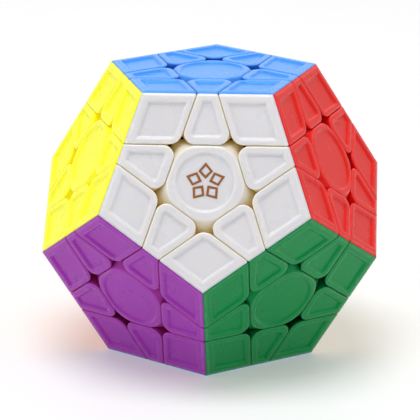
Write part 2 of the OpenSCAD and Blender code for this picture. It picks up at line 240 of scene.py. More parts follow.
# painted highlight: how much lighter worn edges and lips are made; their polish on the next line is
# real wear
PAINTED_HIGHLIGHT_LIFT = 0.13
WORN_POLISH = 0.06
TILE_ROUGHNESS = (0.265, 0.3)

# ---------------------------------------------------------------- places of the faces
# direction round +Z, in degrees, in which each side face looks
HEADINGS = {
    "white": -90, "red": -18, "pink": 54, "lime": 126, "yellow": 198,
    "green": -54, "cream": 18, "grey": 90, "orange": 162, "purple": 234,
}
LOWER = ("green", "cream", "grey", "orange", "purple")


def polar(tilt, heading):
    """Unit vector at an angle from +Z and a heading round it."""
    return Vector((
        math.sin(tilt) * math.cos(heading),
        math.sin(tilt) * math.sin(heading),
        math.cos(tilt),
    ))


def normal(name):
    """Outward normal of a face, from the puzzle centre."""
    if name == "blue":
        return Vector((0, 0, 1))
    if name == "sky":
        return Vector((0, 0, -1))
    tilt = math.pi - FACE_TILT if name in LOWER else FACE_TILT
    return polar(tilt, math.radians(HEADINGS[name]))


def aim(up, toward):
    """Rotation that turns +Z to up and +X as near as it can to toward."""
    z = up.normalized()
    x = (toward - z * toward.dot(z)).normalized()
    y = z.cross(x)
    return Matrix((x, y, z)).transposed().to_4x4()


def place(obj, rotation):
    """Moves the mesh of a shape made in mm about the puzzle centre to its place in the shared frame."""
    obj.data.transform(Matrix.Translation(CENTRE) @ rotation @ Matrix.Scale(MM, 4))
    obj.data.update()
    return obj


# ---------------------------------------------------------------- tile outlines
def wall_distance(kind, z):
    """How far a side of a tile stands from the face axis at height z, outward positive."""
    if kind == "corner_cut":
        return -(CUT_DEPTH + CAP_GAP / 2 - z * math.cos(FACE_TILT)) / math.sin(FACE_TILT)
    if kind == "side_cut":
        return (CUT_DEPTH - CAP_GAP / 2 - z * math.cos(FACE_TILT)) / math.sin(FACE_TILT)
    return z * math.tan(EDGE_TILT) - SEAM / math.cos(EDGE_TILT)


def wall_slope(kind):
    """How far that side moves outward for each mm down."""
    return wall_distance(kind, 0) - wall_distance(kind, 1)


def ring(headings, distances, heights, radii, arc_counts, side_count=3):
    """Closed loop of points round a convex outline of straight sides with rounded corners.

    Side i faces headings[i] at distances[i] from the axis. Corner i joins it to the next side.
    """
    count = len(headings)
    arcs = []
    for i in range(count):
        j = (i + 1) % count
        start, end = headings[i], headings[j]
        if end < start:
            end += 2 * math.pi
        radius = radii[i]
        inset, next_inset = distances[i] - radius, distances[j] - radius
        spread_sine = math.sin(end - start)
        middle_x = (inset * math.sin(end) - next_inset * math.sin(start)) / spread_sine
        middle_y = (next_inset * math.cos(start) - inset * math.cos(end)) / spread_sine
        steps = arc_counts[i]
        arc = []
        for k in range(steps + 1):
            part = k / steps
            angle = start + (end - start) * part
            x = middle_x + radius * math.cos(angle)
            y = middle_y + radius * math.sin(angle)
            z = heights[i] + (heights[j] - heights[i]) * part
            arc.append(Vector((x, y, z)))
        arcs.append(arc)
    points = []
    for i in range(count):
        arc, following = arcs[i], arcs[(i + 1) % count]
        points += arc
        for k in range(1, side_count + 1):
            points.append(arc[-1].lerp(following[0], k / (side_count + 1)))
    return points


def spread(values, arc_counts, side_count=3):
    """One value for each point of a ring, from one value for each side."""
    result = []
    for i, steps in enumerate(arc_counts):
        here, following = values[i], values[(i + 1) % len(values)]
        result += [here + (following - here) * k / steps for k in range(steps + 1)]
        result += [following] * side_count
    return result


def wall_drop(across):
    """How far down a panel wall is, from 0 to 1: a tight bend at the lip, a wide one at the floor."""
    if across < LIP_PART:
        return across * across / LIP_PART
    return LIP_PART + ((1 - LIP_PART) ** 2 - (1 - across) ** 2) / (1 - LIP_PART)


def edge_wear_and_highlight(part, peak):
    """How worn a rounded edge is, and how strong its painted highlight, part of the way over it."""
    return max(0.0, 1 - 2 * abs(part - peak))


def lip_wear_and_highlight(across):
    """How worn a panel wall is, and how strong its painted highlight: only its lip is touched."""
    return LIP_WEAR_AND_HIGHLIGHT if 0 < across < LIP_WEAR_AND_HIGHLIGHT_REACH else 0.0


def first_angle(kind):
    """Direction, up from level, in which the rounded rim starts from a wall."""
    if kind == "outer":
        return math.pi / 2 - EDGE_TILT
    return math.atan2(wall_slope(kind), 1)


class Tile:
    """Loops of one kind of coloured cap, from the bottom of its walls to the floor of its panel.

    headings, kinds, rims and rounds have one value for each side of the outline; tips, panel_tips
    and arc_counts have one for the corner after each side.
    """

    def __init__(self, headings, kinds, tips, panel_tips, arc_counts, rims, rounds):
        self.headings = [math.radians(h) % (2 * math.pi) for h in headings]
        self.kinds = kinds
        self.tips = tips
        self.panel_tips = panel_tips
        self.arc_counts = arc_counts
        self.rims = rims
        self.rounds = rounds
        self.rim_start = []
        self.rings = []
        self.wear = []
        self.deep = []

    def add(self, distances, heights, radii, wear, deep):
        """One more loop. Its outer sides are beside no gap, so none of them is deep."""
        self.rings.append(ring(self.headings, distances, heights, radii, self.arc_counts))
        self.wear.append(wear)
        beside_gap = [0.0 if kind == "outer" else deep for kind in self.kinds]
        self.deep.append(spread(beside_gap, self.arc_counts))

    def walls(self, low, levels):
        """Straight walls, from a level deep inside up to the rounded rim."""
        for level in levels:
            heights = []
            for kind, radius in zip(self.kinds, self.rounds):
                top = REACH - CROWN - radius * (1 - math.sin(first_angle(kind)))
                heights.append(low + (top - low) * level)
            distances = [wall_distance(k, z) for k, z in zip(self.kinds, heights)]
            depth = REACH - sum(heights) / len(heights)
            self.add(distances, heights, self.tips, 0.0, min(1.0, depth / DEEP_REACH))

    def rounding(self):
        """Rounded edge between each wall and the rim."""
        for k in range(1, ROUND_STEPS + 1):
            part = k / ROUND_STEPS
            distances, heights = [], []
            for kind, radius in zip(self.kinds, self.rounds):
                first = first_angle(kind)
                top = REACH - CROWN - radius * (1 - math.sin(first))
                middle = wall_distance(kind, top) - radius * math.cos(first)
                angle = first + (math.pi / 2 - first) * part
                distances.append(middle + radius * math.cos(angle))
                heights.append(REACH - CROWN - radius * (1 - math.sin(angle)))
            radii = [max(LEAST_TIP, t - TIP_SHRINK * part) for t in self.tips]
            self.add(distances, heights, radii, edge_wear_and_highlight(part, WEAR_AND_HIGHLIGHT_PEAK), ROUND_DEEP * (1 - part))
            self.rim_start = distances

    def lip(self):
        """How far each side of the lip of the sunk panel stands from the face axis."""
        return [wall_distance(k, REACH) - r for k, r in zip(self.kinds, self.rims)]

    def rim(self):
        """Slightly crowned rim, from the rounded edge to the lip of the sunk panel."""
        for part in CROWN_PARTS:
            distances = [a + (b - a) * part for a, b in zip(self.rim_start, self.lip())]
            radii = [max(LEAST_TIP, t + (p - t) * part) for t, p in zip(self.tips, self.panel_tips)]
            height = REACH - CROWN * (2 * part - 1) ** 2
            self.add(distances, [height] * len(self.kinds), radii, 0.0, 0.0)

    def panel(self, run, depth):
        """Wall of the sunk panel, from the lip to the floor."""
        for k in range(WALL_STEPS + 1):
            across = k / WALL_STEPS
            down = CROWN + (depth - CROWN) * wall_drop(across)
            distances = [d - run * across for d in self.lip()]
            radii = [max(LEAST_TIP, p - PANEL_TIP_SHRINK * across) for p in self.panel_tips]
            self.add(distances, [REACH - down] * len(self.kinds), radii, lip_wear_and_highlight(across), 0.0)

    def mesh(self):
        """The closed mesh, floor and bottom included."""
        return mesh_of_rings(self.rings, self.wear, self.deep, PANEL_FLOOR_STEPS)


def mesh_of_rings(rings, wear_and_highlights, deeps, floor_steps):
    """One closed mesh: quads between the loops, more loops over the floor, a face at each end."""
    bm = bmesh.new()
    wear_and_highlight_layer = bm.verts.layers.float.new("wear")
    deep_layer = bm.verts.layers.float.new("deep")
    last = rings[-1]
    middle = sum(last, Vector()) / len(last)
    floor = [[point.lerp(middle, part) for point in last] for part in floor_steps]
    wear_and_highlights = wear_and_highlights + [0.0] * len(floor)
    deeps = deeps + [[0.0] * len(last)] * len(floor)
    rows = []
    for points, wear, ring_deeps in zip(rings + floor, wear_and_highlights, deeps):
        row = []
        for point, deep in zip(points, ring_deeps):
            vert = bm.verts.new(point)
            vert[wear_and_highlight_layer] = wear
            vert[deep_layer] = deep
            row.append(vert)
        rows.append(row)
    bridge(bm, rows)
    bm.faces.new(rows[-1])
    bm.faces.new(list(reversed(rows[0])))
    return bm


def bridge(bm, rows):
    """Quads between each loop of vertices and the next."""
    for lower, upper in zip(rows, rows[1:]):
        for i in range(len(lower)):
            j = (i + 1) % len(lower)
            bm.faces.new((lower[i], lower[j], upper[j], upper[i]))


def cut_bottom(bm, direction, distance):
    """Removes what lies nearer the puzzle centre than a plane, and closes the cut."""
    geometry = bm.verts[:] + bm.edges[:] + bm.faces[:]
    bmesh.ops.bisect_plane(
        bm, geom=geometry, plane_co=direction * distance, plane_no=direction, clear_inner=True
    )
    rims = [e for e in bm.edges if e.is_boundary]
    if rims:
        bmesh.ops.contextual_create(bm, geom=rims)


def finish_mesh(bm, name):
    """Mesh object with smooth faces, sharp where two faces meet at more than SHARP."""
    bmesh.ops.remove_doubles(bm, verts=bm.verts[:], dist=SAME_POINT)
    bmesh.ops.recalc_face_normals(bm, faces=bm.faces[:])
    for face in bm.faces:
        face.smooth = True
    for edge in bm.edges:
        if len(edge.link_faces) == 2 and edge.calc_face_angle(0) > SHARP:
            edge.smooth = False
    mesh = bpy.data.meshes.new(name)
    bm.to_mesh(mesh)
    bm.free()
    obj = bpy.data.objects.new(name, mesh)
    bpy.context.scene.collection.objects.link(obj)
    smooth = obj.modifiers.new("face_weighted_normals", "WEIGHTED_NORMAL")
    smooth.keep_sharp = True
    smooth.weight = NORMAL_WEIGHT
    return obj


def corner_cap():
    """Kite-like cap at a vertex of its face: two outer sides, two cut sides, a rounded inner tip."""
    tile = Tile(
        headings=(-36, 36, 144, 216),
        kinds=("outer", "outer", "corner_cut", "corner_cut"),
        tips=(VERTEX_TIP, SIDE_TIP, CORNER_TIP, SIDE_TIP),
        panel_tips=CORNER_PANEL_TIPS,
        arc_counts=(SMALL_ARC, SMALL_ARC, CORNER_ARC, SMALL_ARC),
        rims=CORNER_RIMS,
        rounds=(CREASE_ROUND, CREASE_ROUND, CUT_ROUND, CUT_ROUND),
    )
    tile.walls(TILE_LOW, WALL_LEVELS)
    tile.rounding()
    tile.rim()
    tile.panel(CORNER_PANEL_RUN, PANEL_DEPTH)
    bm = tile.mesh()
    cut_bottom(bm, polar(VERTEX_TILT, 0), CORNER_SPLIT + SEAT)
    return bm


def edge_cap():
    """Cap at the middle of an edge of its face, wider inward, with two rounded inner tips."""
    tile = Tile(
        headings=(-72, 0, 72, 180),
        kinds=("side_cut", "outer", "side_cut", "corner_cut"),
        tips=(SIDE_TIP, SIDE_TIP, EDGE_TIP, EDGE_TIP),
        panel_tips=EDGE_PANEL_TIPS,
        arc_counts=(SMALL_ARC, SMALL_ARC, EDGE_ARC, EDGE_ARC),
        rims=EDGE_RIMS,
        rounds=(SIDE_ROUND, CREASE_ROUND, SIDE_ROUND, CUT_ROUND),
    )
    tile.walls(TILE_LOW, WALL_LEVELS)
    tile.rounding()
    tile.rim()
    tile.panel(EDGE_PANEL_RUN, PANEL_DEPTH)
    bm = tile.mesh()
    cut_bottom(bm, polar(EDGE_TILT, 0), EDGE_SPLIT + SEAT)
    return bm


def centre_cap(disc):
    """Rounded pentagon with flanks that spread to the sharp pentagon below, and a sunk disc."""
    headings = [STEP * k for k in range(SIDES)]
    arc_counts = [CENTRE_ARC] * SIDES
    rings, wear_and_highlights, deeps = [], [], []

    def add_pentagon(distance, z, tip, wear, deep):
        """Level loop with its five sides at one distance and its corners rounded to tip."""
        distances, heights, radii = [distance] * SIDES, [z] * SIDES, [tip] * SIDES
        rings.append(ring(headings, distances, heights, radii, arc_counts, side_count=2))
        wear_and_highlights.append(wear)
        deeps.append([deep] * len(rings[-1]))

    for z, tip in ((CENTRE_SPLIT + SEAT, FLANK_FOOT_ROUND),) + FLANKS:
        deep = min(1.0, (REACH - z) / CENTRE_DEEP_REACH)
        add_pentagon(wall_distance("side_cut", z), z, tip, 0.0, deep)
    start = first_angle("side_cut")
    slope = wall_slope("side_cut")
    radius = CENTRE_SIDE_ROUND
    middle = wall_distance("side_cut", REACH) - radius * (math.hypot(1, slope) - slope)
    for k in range(ROUND_STEPS + 1):
        part = k / ROUND_STEPS
        angle = start + (math.pi / 2 - start) * part
        distance = middle + radius * math.cos(angle)
        z = REACH - radius * (1 - math.sin(angle))
        wear = edge_wear_and_highlight(part, CENTRE_WEAR_AND_HIGHLIGHT_PEAK)
        add_pentagon(distance, z, CENTRE_ROUND, wear, CENTRE_ROUND_DEEP * (1 - part))
    pentagon = rings[-1]

    def add_round(radius, height, blend, wear):
        """Loop between the pentagon, at blend 0, and a circle, at blend 1."""
        row = []
        for point in pentagon:
            out = Vector((point.x, point.y, 0)).normalized()
            row.append(point.lerp(out * radius + Vector((0, 0, height)), blend))
        rings.append(row)
        wear_and_highlights.append(wear)
        deeps.append([0.0] * len(row))

    for blend in DISC_BLENDS:
        add_round(disc, REACH, blend, 0.0)
    for k in range(WALL_STEPS + 1):
        across = k / WALL_STEPS
        height = REACH - DISC_DEPTH * wall_drop(across)
        add_round(disc - DISC_RUN * across, height, 1.0, lip_wear_and_highlight(across))
    return mesh_of_rings(rings, wear_and_highlights, deeps, DISC_FLOOR_STEPS)


# ---------------------------------------------------------------- black bases
def half_space_hull(planes):
    """Convex solid inside planes given as (outward normal, distance)."""
    corners = []
    for i in range(len(planes)):
        for j in range(i):
            for k in range(j):
                normals = Matrix((planes[i][0], planes[j][0], planes[k][0]))
                if abs(normals.determinant()) < TINY:
                    continue
                distances = Vector((planes[i][1], planes[j][1], planes[k][1]))
                point = normals.inverted() @ distances
                if all(out.dot(point) <= distance + TINY for out, distance in planes):
                    corners.append(point)
    bm = bmesh.new()
    verts = [bm.verts.new(p) for p in corners]
    bmesh.ops.remove_doubles(bm, verts=verts, dist=SAME_CORNER)
    bmesh.ops.convex_hull(bm, input=bm.verts[:])
    bmesh.ops.dissolve_limit(bm, angle_limit=FLAT_ANGLE, verts=bm.verts[:], edges=bm.edges[:])
    return bm


def soften(bm, width, segments=2):
    """Rounds every edge."""
    bmesh.ops.bevel(
        bm, geom=bm.edges[:], offset=width, segments=segments, profile=0.5, affect="EDGES",
        clamp_overlap=True,
    )


def lathe(bm, profile, segments):
    """Adds a solid of revolution about +Z. profile has the (radius, height) points of its section."""
    rows = []
    for radius, height in profile:
        if radius < TINY:
            rows.append([bm.verts.new((0, 0, height))])
            continue
        row = []
        for k in range(segments):
            angle = 2 * math.pi * k / segments
            row.append(bm.verts.new((radius * math.cos(angle), radius * math.sin(angle), height)))
        rows.append(row)
    for lower, upper in zip(rows, rows[1:]):
        for k in range(segments):
            j = (k + 1) % segments
            below = [lower[k % len(lower)], lower[j % len(lower)]]
            above = [upper[j % len(upper)], upper[k % len(upper)]]
            bm.faces.new(list(dict.fromkeys(below + above)))


def join_into(bm, other):
    """Copies another shape into bm."""
    mesh = bpy.data.meshes.new("scratch")
    other.to_mesh(mesh)
    other.free()
    bm.from_mesh(mesh)
    bpy.data.meshes.remove(mesh)


def corner_base():
    """Seat under three caps, stalk and foot, with the vertex towards +Z."""
    planes = [(Vector((0, 0, 1)), CORNER_SPLIT)]
    for k in range(3):
        planes.append((-polar(VERTEX_TILT, math.radians(120 * k)), -(CUT_DEPTH + BASE_GAP / 2)))
    bm = half_space_hull(planes)
    soften(bm, CORNER_SOFTEN)
    lathe(bm, CORNER_STALK, segments=36)
    return bm


def edge_base():
    """Seat under two caps, stalk and foot, with the edge towards +Z and a face towards +X."""
    planes = [
        (-polar(EDGE_TILT, 0), -(CUT_DEPTH + BASE_GAP / 2)),
        (-polar(EDGE_TILT, math.pi), -(CUT_DEPTH + BASE_GAP / 2)),
        (polar(math.pi / 2 + SIDE_CONE, math.pi / 2), -BASE_GAP / 2),
        (polar(math.pi / 2 + SIDE_CONE, -math.pi / 2), -BASE_GAP / 2),
        (Vector((0, 0, 1)), EDGE_SPLIT),
    ]
    bm = half_space_hull(planes)
    soften(bm, EDGE_SOFTEN)
    for half_x, half_y, low, high, round_to in EDGE_BLOCKS:
        sides = [
            (Vector((1, 0, 0)), half_x), (Vector((-1, 0, 0)), half_x),
            (Vector((0, 1, 0)), half_y), (Vector((0, -1, 0)), half_y),
            (Vector((0, 0, 1)), high), (Vector((0, 0, -1)), -low),
        ]
        block = half_space_hull(sides)
        soften(block, round_to, segments=3)
        join_into(bm, block)
    return bm


def centre_base():
    """Cup under a centre cap with the pocket for the spring and screw, and the hub on its post."""
    bm = bmesh.new()
    bore = (
        (BORE, POCKET_FLOOR),
        (BORE, HUB_LOW + BORE_ROUND),
        (BORE + BORE_ROUND, HUB_LOW),
    )
    hub = (
        (HUB_RADIUS - BASE_ROUND, HUB_LOW),
        (HUB_RADIUS, HUB_LOW + BASE_ROUND),
        (HUB_RADIUS, CUP_LOW - BASE_ROUND),
        (HUB_RADIUS + BASE_ROUND, CUP_LOW),
    )
    cup = (
        (CUP_FOOT_RADIUS - CUP_FOOT_ROUND, CUP_LOW),
        (CUP_FOOT_RADIUS, CUP_LOW + CUP_FOOT_ROUND),
        (CUP_RADIUS, CENTRE_SPLIT - BASE_ROUND),
        (CUP_RADIUS - BASE_ROUND, CENTRE_SPLIT),
    )
    pocket = (
        (POCKET_RADIUS + BASE_ROUND, CENTRE_SPLIT),
        (POCKET_RADIUS, CENTRE_SPLIT - BASE_ROUND),
        (POCKET_RADIUS, POCKET_FLOOR + BASE_ROUND),
        (POCKET_RADIUS - BASE_ROUND, POCKET_FLOOR),
        (BORE, POCKET_FLOOR),
    )
    lathe(bm, bore + hub + cup + pocket, segments=60)
    return bm


def spring_coil(bm, rotation):
    """Adds the helical wire under one washer."""
    up = Vector((0, 0, 1))
    count = int(SPRING_TURNS * COIL_STEPS)
    rows = []
    for i in range(count + 1):
        part = i / count
        angle = 2 * math.pi * SPRING_TURNS * part
        out = Vector((math.cos(angle), math.sin(angle), 0))
        middle = out * COIL_RADIUS + up * (SPRING_LOW + (SPRING_HIGH - SPRING_LOW) * part)
        row = []
        for k in range(WIRE_SIDES):
            around = 2 * math.pi * k / WIRE_SIDES
            point = middle + (out * math.cos(around) + up * math.sin(around)) * WIRE_RADIUS
            row.append(bm.verts.new(rotation @ point))
        rows.append(row)
    bridge(bm, rows)
    bm.faces.new(list(reversed(rows[0])))
    bm.faces.new(rows[-1])


# ---------------------------------------------------------------- materials
class Nodes:
    """A material with a Principled shader, and short calls for the nodes that feed it."""

    def __init__(self, name):
        self.material = bpy.data.materials.new(name)
        self.material.use_nodes = True
        self.tree = self.material.node_tree
        self.tree.nodes.clear()
        self.output = self.new("ShaderNodeOutputMaterial")
        self.shader = self.new("ShaderNodeBsdfPrincipled")
        self.link(self.shader.outputs["BSDF"], self.output.inputs["Surface"])
        self.coords = self.new("ShaderNodeTexCoord").outputs["Object"]

    def new(self, kind, **values):
        node = self.tree.nodes.new(kind)
        for key, value in values.items():
            setattr(node, key, value)
        return node

    def link(self, a, b):
        self.tree.links.new(a, b)

    def noise(self, scale, detail, roughness):
        """Noise from 0 to 1 on the piece itself, with scale grains to a metre."""
        node = self.new("ShaderNodeTexNoise")
        node.inputs["Scale"].default_value = scale
        node.inputs["Detail"].default_value = detail
        node.inputs["Roughness"].default_value = roughness
        self.link(self.coords, node.inputs["Vector"])
        return node.outputs["Fac"]

    def attribute(self, name):
        """A value that the mesh holds for each vertex."""
        return self.new("ShaderNodeAttribute", attribute_name=name).outputs["Fac"]

    def ramp(self, value, to_low, to_high, low=0.3, high=0.7):
        """Maps low to high onto to_low to to_high, by default the middle of a noise."""
        node = self.new("ShaderNodeMapRange")
        node.inputs["From Min"].default_value = low
        node.inputs["From Max"].default_value = high
        node.inputs["To Min"].default_value = to_low
        node.inputs["To Max"].default_value = to_high
        self.link(value, node.inputs["Value"])
        return node.outputs["Result"]

    def combine(self, operation, a, b):
        """MULTIPLY or ADD of a socket and a socket or number."""
        node = self.new("ShaderNodeMath", operation=operation)
        self.link(a, node.inputs[0])
        if isinstance(b, float):
            node.inputs[1].default_value = b
        else:
            self.link(b, node.inputs[1])
        return node.outputs[0]

    def blend(self, factor, a, b):
        """Colour between a and b, each a socket or an (r, g, b)."""
        node = self.new("ShaderNodeMix", data_type="RGBA")
        self.link(factor, node.inputs["Factor"])
        colours = [socket for socket in node.inputs if socket.type == "RGBA"]
        for value, socket in zip((a, b), colours):
            if isinstance(value, tuple):
                socket.default_value = (*value, 1)
            else:
                self.link(value, socket)
        return next(socket for socket in node.outputs if socket.type == "RGBA")

    def bump(self, height, strength, distance, under=None):
        """Normal of a relief distance metres high, on top of another one if under is given."""
        node = self.new("ShaderNodeBump")
        node.inputs["Strength"].default_value = strength
        node.inputs["Distance"].default_value = distance
        self.link(height, node.inputs["Height"])
        if under is not None:
            self.link(under, node.inputs["Normal"])
        return node.outputs["Normal"]

    def finish(self, colour, roughness, normal):
        """Feeds the shader, and returns the material."""
        self.link(colour, self.shader.inputs["Base Color"])
        self.link(roughness, self.shader.inputs["Roughness"])
        self.link(normal, self.shader.inputs["Normal"])
        return self.material


def shade(rgb, factor):
    """The same colour, lighter or darker."""
    return tuple(min(1.0, c * factor) for c in rgb)


def painted_gap_shade(rgb):
    """Painted shade of the plastic down in the gaps: darker and richer, as where light bounces there.
    """
    top = max(rgb)
    return tuple(DEEP_SHADE * top * (c / top) ** DEEP_RICHNESS for c in rgb)


def tint(rgb, pale):
    """A colour at full brightness, with some white in it."""
    top = max(rgb)
    return tuple(pale + (1 - pale) * c / top for c in rgb)


def tile_plastic(name, rgb, gap_shade_rgb, clear, painted_gap_glow):
    """Satin moulded plastic: faint flow marks, fine mould grain, edges polished by handling and
    lightened by a painted highlight, with painted shade and painted glow down in the gaps.
    """
    n = Nodes(name)
    wear, deep = n.attribute("wear"), n.attribute("deep")
    flow = n.ramp(n.noise(scale=70, detail=3.0, roughness=0.55), 0.0, 1.0)
    body = n.blend(flow, shade(rgb, 1 - FLOW_SHADE), shade(rgb, 1 + FLOW_SHADE))
    scuffs = n.noise(scale=420, detail=4.0, roughness=0.7)
    patches = n.ramp(scuffs, 0.2, 0.65, low=0.35, high=0.75)
    # painted highlight: rounded edges and panel lips are lightened where light catches them, broken
    # into patches like wear
    lighter = tuple(min(1.0, c + PAINTED_HIGHLIGHT_LIFT) for c in rgb)
    worn = n.blend(n.combine("MULTIPLY", wear, patches), body, lighter)
    # painted shade: down in the gaps the colour goes over to the darker, richer gap colour
    colour = n.blend(deep, worn, gap_shade_rgb)
    satin = n.ramp(n.noise(scale=160, detail=2.0, roughness=0.5), *TILE_ROUGHNESS)
    roughness = n.combine("ADD", satin, n.combine("MULTIPLY", wear, -WORN_POLISH))
    waves = n.noise(scale=90, detail=1.0, roughness=0.4)
    sink = n.bump(waves, strength=0.01, distance=0.0006)
    texture = n.noise(scale=14000, detail=1.0, roughness=0.5)
    grain = n.bump(texture, strength=0.006, distance=0.00001, under=sink)
    # painted glow: emission that grows with depth in the gaps
    if painted_gap_glow:
        painted_glow = n.blend(deep, (0.0, 0.0, 0.0), painted_gap_glow)
        n.link(painted_glow, n.shader.inputs["Emission Color"])
        n.shader.inputs["Emission Strength"].default_value = 1.0
    through = tint(gap_shade_rgb, THROUGH_PALE)
    n.shader.inputs["IOR"].default_value = 1.5
    n.shader.inputs["Specular IOR Level"].default_value = 0.5
    n.shader.inputs["Specular Tint"].default_value = (*tint(rgb, SHEEN_PALE), 1)
    n.shader.inputs["Subsurface Weight"].default_value = CLEAR_DEPTH if clear else SOLID_DEPTH
    n.shader.inputs["Subsurface Scale"].default_value = THROUGH_REACH
    n.shader.inputs["Subsurface Radius"].default_value = through
    return n.finish(colour, roughness, grain)


def black_plastic(name):
    """Moulded plastic of the bases."""
    n = Nodes(name)
    flow = n.ramp(n.noise(scale=90, detail=3.0, roughness=0.6), 0.0, 1.0)
    colour = n.blend(flow, (0.010, 0.010, 0.012), (0.020, 0.020, 0.022))
    roughness = n.ramp(n.noise(scale=300, detail=4.0, roughness=0.6), 0.3, 0.5)
    grain = n.bump(n.noise(scale=2500, detail=3.0, roughness=0.6), strength=0.08, distance=0.00005)
    return n.finish(colour, roughness, grain)


def pale_plastic(name):
    """Slippery off-white plastic of the core."""
    n = Nodes(name)
    flow = n.ramp(n.noise(scale=110, detail=3.0, roughness=0.6), 0.0, 1.0)
    colour = n.blend(flow, (0.70, 0.69, 0.64), (0.80, 0.79, 0.75))
    roughness = n.ramp(n.noise(scale=260, detail=4.0, roughness=0.6), 0.4, 0.6)
    grain = n.bump(n.noise(scale=1800, detail=3.0, roughness=0.6), strength=0.12, distance=0.00006)
    return n.finish(colour, roughness, grain)


def steel(name, light, dark, smooth, rough):
    """Bright steel with fine level marks."""
    n = Nodes(name)
    stretch = n.new("ShaderNodeMapping")
    stretch.inputs["Scale"].default_value = (400, 400, 4000)
    n.link(n.coords, stretch.inputs["Vector"])
    n.coords = stretch.outputs["Vector"]
    marks = n.noise(scale=1.0, detail=4.0, roughness=0.5)
    colour = n.blend(n.ramp(marks, 0.0, 1.0), dark, light)
    n.shader.inputs["Metallic"].default_value = 1.0
    return n.finish(colour, n.ramp(marks, smooth, rough), n.bump(marks, 0.1, 0.00003))


def gold_print(name):
    """Gold-brown ink of the printed mark."""
    n = Nodes(name)
    patches = n.ramp(n.noise(scale=900, detail=4.0, roughness=0.6), 0.0, 1.0)
    colour = n.blend(patches, (0.25, 0.082, 0.008), (0.33, 0.112, 0.014))
    roughness = n.ramp(n.noise(scale=700, detail=3.0, roughness=0.6), 0.35, 0.5)
    grain = n.bump(n.noise(scale=2500, detail=3.0, roughness=0.6), strength=0.1, distance=0.00003)
    return n.finish(colour, roughness, grain)


materials = {}
for name, rgb in COLOURS.items():
    gap_shade_rgb = PAINTED_GAP_SHADES.get(name, painted_gap_shade(rgb))
    clear = name in CLEAR_PLASTICS
    materials[name] = tile_plastic("plastic_" + name, rgb, gap_shade_rgb, clear, PAINTED_GAP_GLOW.get(name))
black = black_plastic("plastic_black")
core_plastic = pale_plastic("plastic_core")
screw_steel = steel("steel_screw", (0.72, 0.73, 0.75), (0.55, 0.56, 0.58), 0.22, 0.38)
spring_steel = steel("steel_spring", (0.62, 0.62, 0.63), (0.45, 0.45, 0.46), 0.25, 0.4)
gold = gold_print("print_gold")

# ---------------------------------------------------------------- the pieces
body_of_node = {}
for body, members in frame["record"]["behaviour"]["bodies"].items():
    for member in members:
        body_of_node[member] = body


def install(obj, rotation, material, node):
    """Places a piece, gives it its material, hides the CAD part that it stands for and sets what it
    rides on.
    """
    place(obj, rotation)
    obj.data.materials.append(material)
    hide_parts(node)
    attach(obj, body_of_node[node])


def add_cap(bm, name, colour, rotation, node):
    install(finish_mesh(bm, name), rotation, materials[colour], node)


def add_base(bm, name, rotation, node):
    install(finish_mesh(bm, name), rotation, black, node)


def add_corner(node, names):
    """Three caps on their base."""
    middle = sum((normal(n) for n in names), Vector())
    label = "corner_" + "_".join(names)
    for colour in names:
        cap = f"{label}_cap_{colour}"
        add_cap(corner_cap(), cap, colour, aim(normal(colour), middle), node)
    add_base(corner_base(), label + "_base", aim(middle, normal(names[0])), node)


def add_edge(node, names):
    """Two caps on their base."""
    middle = normal(names[0]) + normal(names[1])
    label = "edge_" + "_".join(names)
    for colour in names:
        cap = f"{label}_cap_{colour}"
        add_cap(edge_cap(), cap, colour, aim(normal(colour), middle), node)
    add_base(edge_base(), label + "_base", aim(middle, normal(names[0])), node)


def add_centre(node, colour):
    """A cap with its disc on its cup, turned so that a side faces up, or down on a lower face."""
    if colour in ("blue", "sky"):
        partner = normal("white") if colour == "blue" else normal("green")
    else:
        partner = Vector((0, 0, -1 if colour in LOWER else 1))
    rotation = aim(normal(colour), partner)
    disc = MARKED_DISC_RADIUS if colour == "white" else DISC_RADIUS
    add_cap(centre_cap(disc), f"{node}_cap", colour, rotation, node)
    add_base(centre_base(), f"{node}_base", rotation, node)
    if colour == "white":
        add_mark(node, rotation)


def add_mark(node, rotation):
    """Generic printed ring of five plain petals on the white cap."""
    bm = bmesh.new()
    top = REACH - DISC_DEPTH
    sections = (
        (PETAL_OUTLINE, top - PRINT_HALF),
        (PETAL_OUTLINE, top + PRINT_HALF),
        (PETAL_HOLE, top + PRINT_HALF),
        (PETAL_HOLE, top - PRINT_HALF),
    )
    for k in range(PETALS):
        turn = Matrix.Rotation(2 * math.pi * k / PETALS, 4, "Z")
        rows = []
        for points, z in sections:
            rows.append([bm.verts.new(turn @ Vector((x, y, z))) for x, y in points])
        bridge(bm, rows + rows[:1])
    install(finish_mesh(bm, f"{node}_mark"), rotation, gold, node)


for node in sorted(frame["nodes"]):
    words = node.replace("_and_base_corner", "").split("_")
    kind, names = words[0], words[1:]
    if kind == "corner":
        add_corner(node, names)
    elif kind == "edge":
        add_edge(node, names)
        if node.endswith("_and_base_corner"):
            add_corner(node, ["sky"] + names)
    elif kind == "centre":
        add_centre(node, names[0])

coil = bmesh.new()
for face in COLOURS:
    spring_coil(coil, aim(normal(face), SPRING_START).to_3x3())
coils = finish_mesh(coil, "spring_coils")
install(coils, Matrix.Identity(4), spring_steel, "springs")


def repaint(node, material):
    """Gives a CAD node that stays a finished material."""
    obj = frame["nodes"][node]
    obj.data.materials.clear()
    obj.data.materials.append(material)


repaint("core", core_plastic)
repaint("screws", screw_steel)

# ---------------------------------------------------------------- floor, light and camera
# floor and backdrop in metres, and how bright the floor and the surroundings are
FLOOR_HALF = 6.0
FLOOR_FRONT = -3.0
FLOOR_BACK = 1.2
FLOOR_CURVE = 0.9
CURVE_STEPS = 12
BACKDROP_TOP = 4.0
FLOOR_GLOW = 0.25
SKY_LOW = 0.635
SKY_HIGH = 0.42
SKY_RISE = 0.8


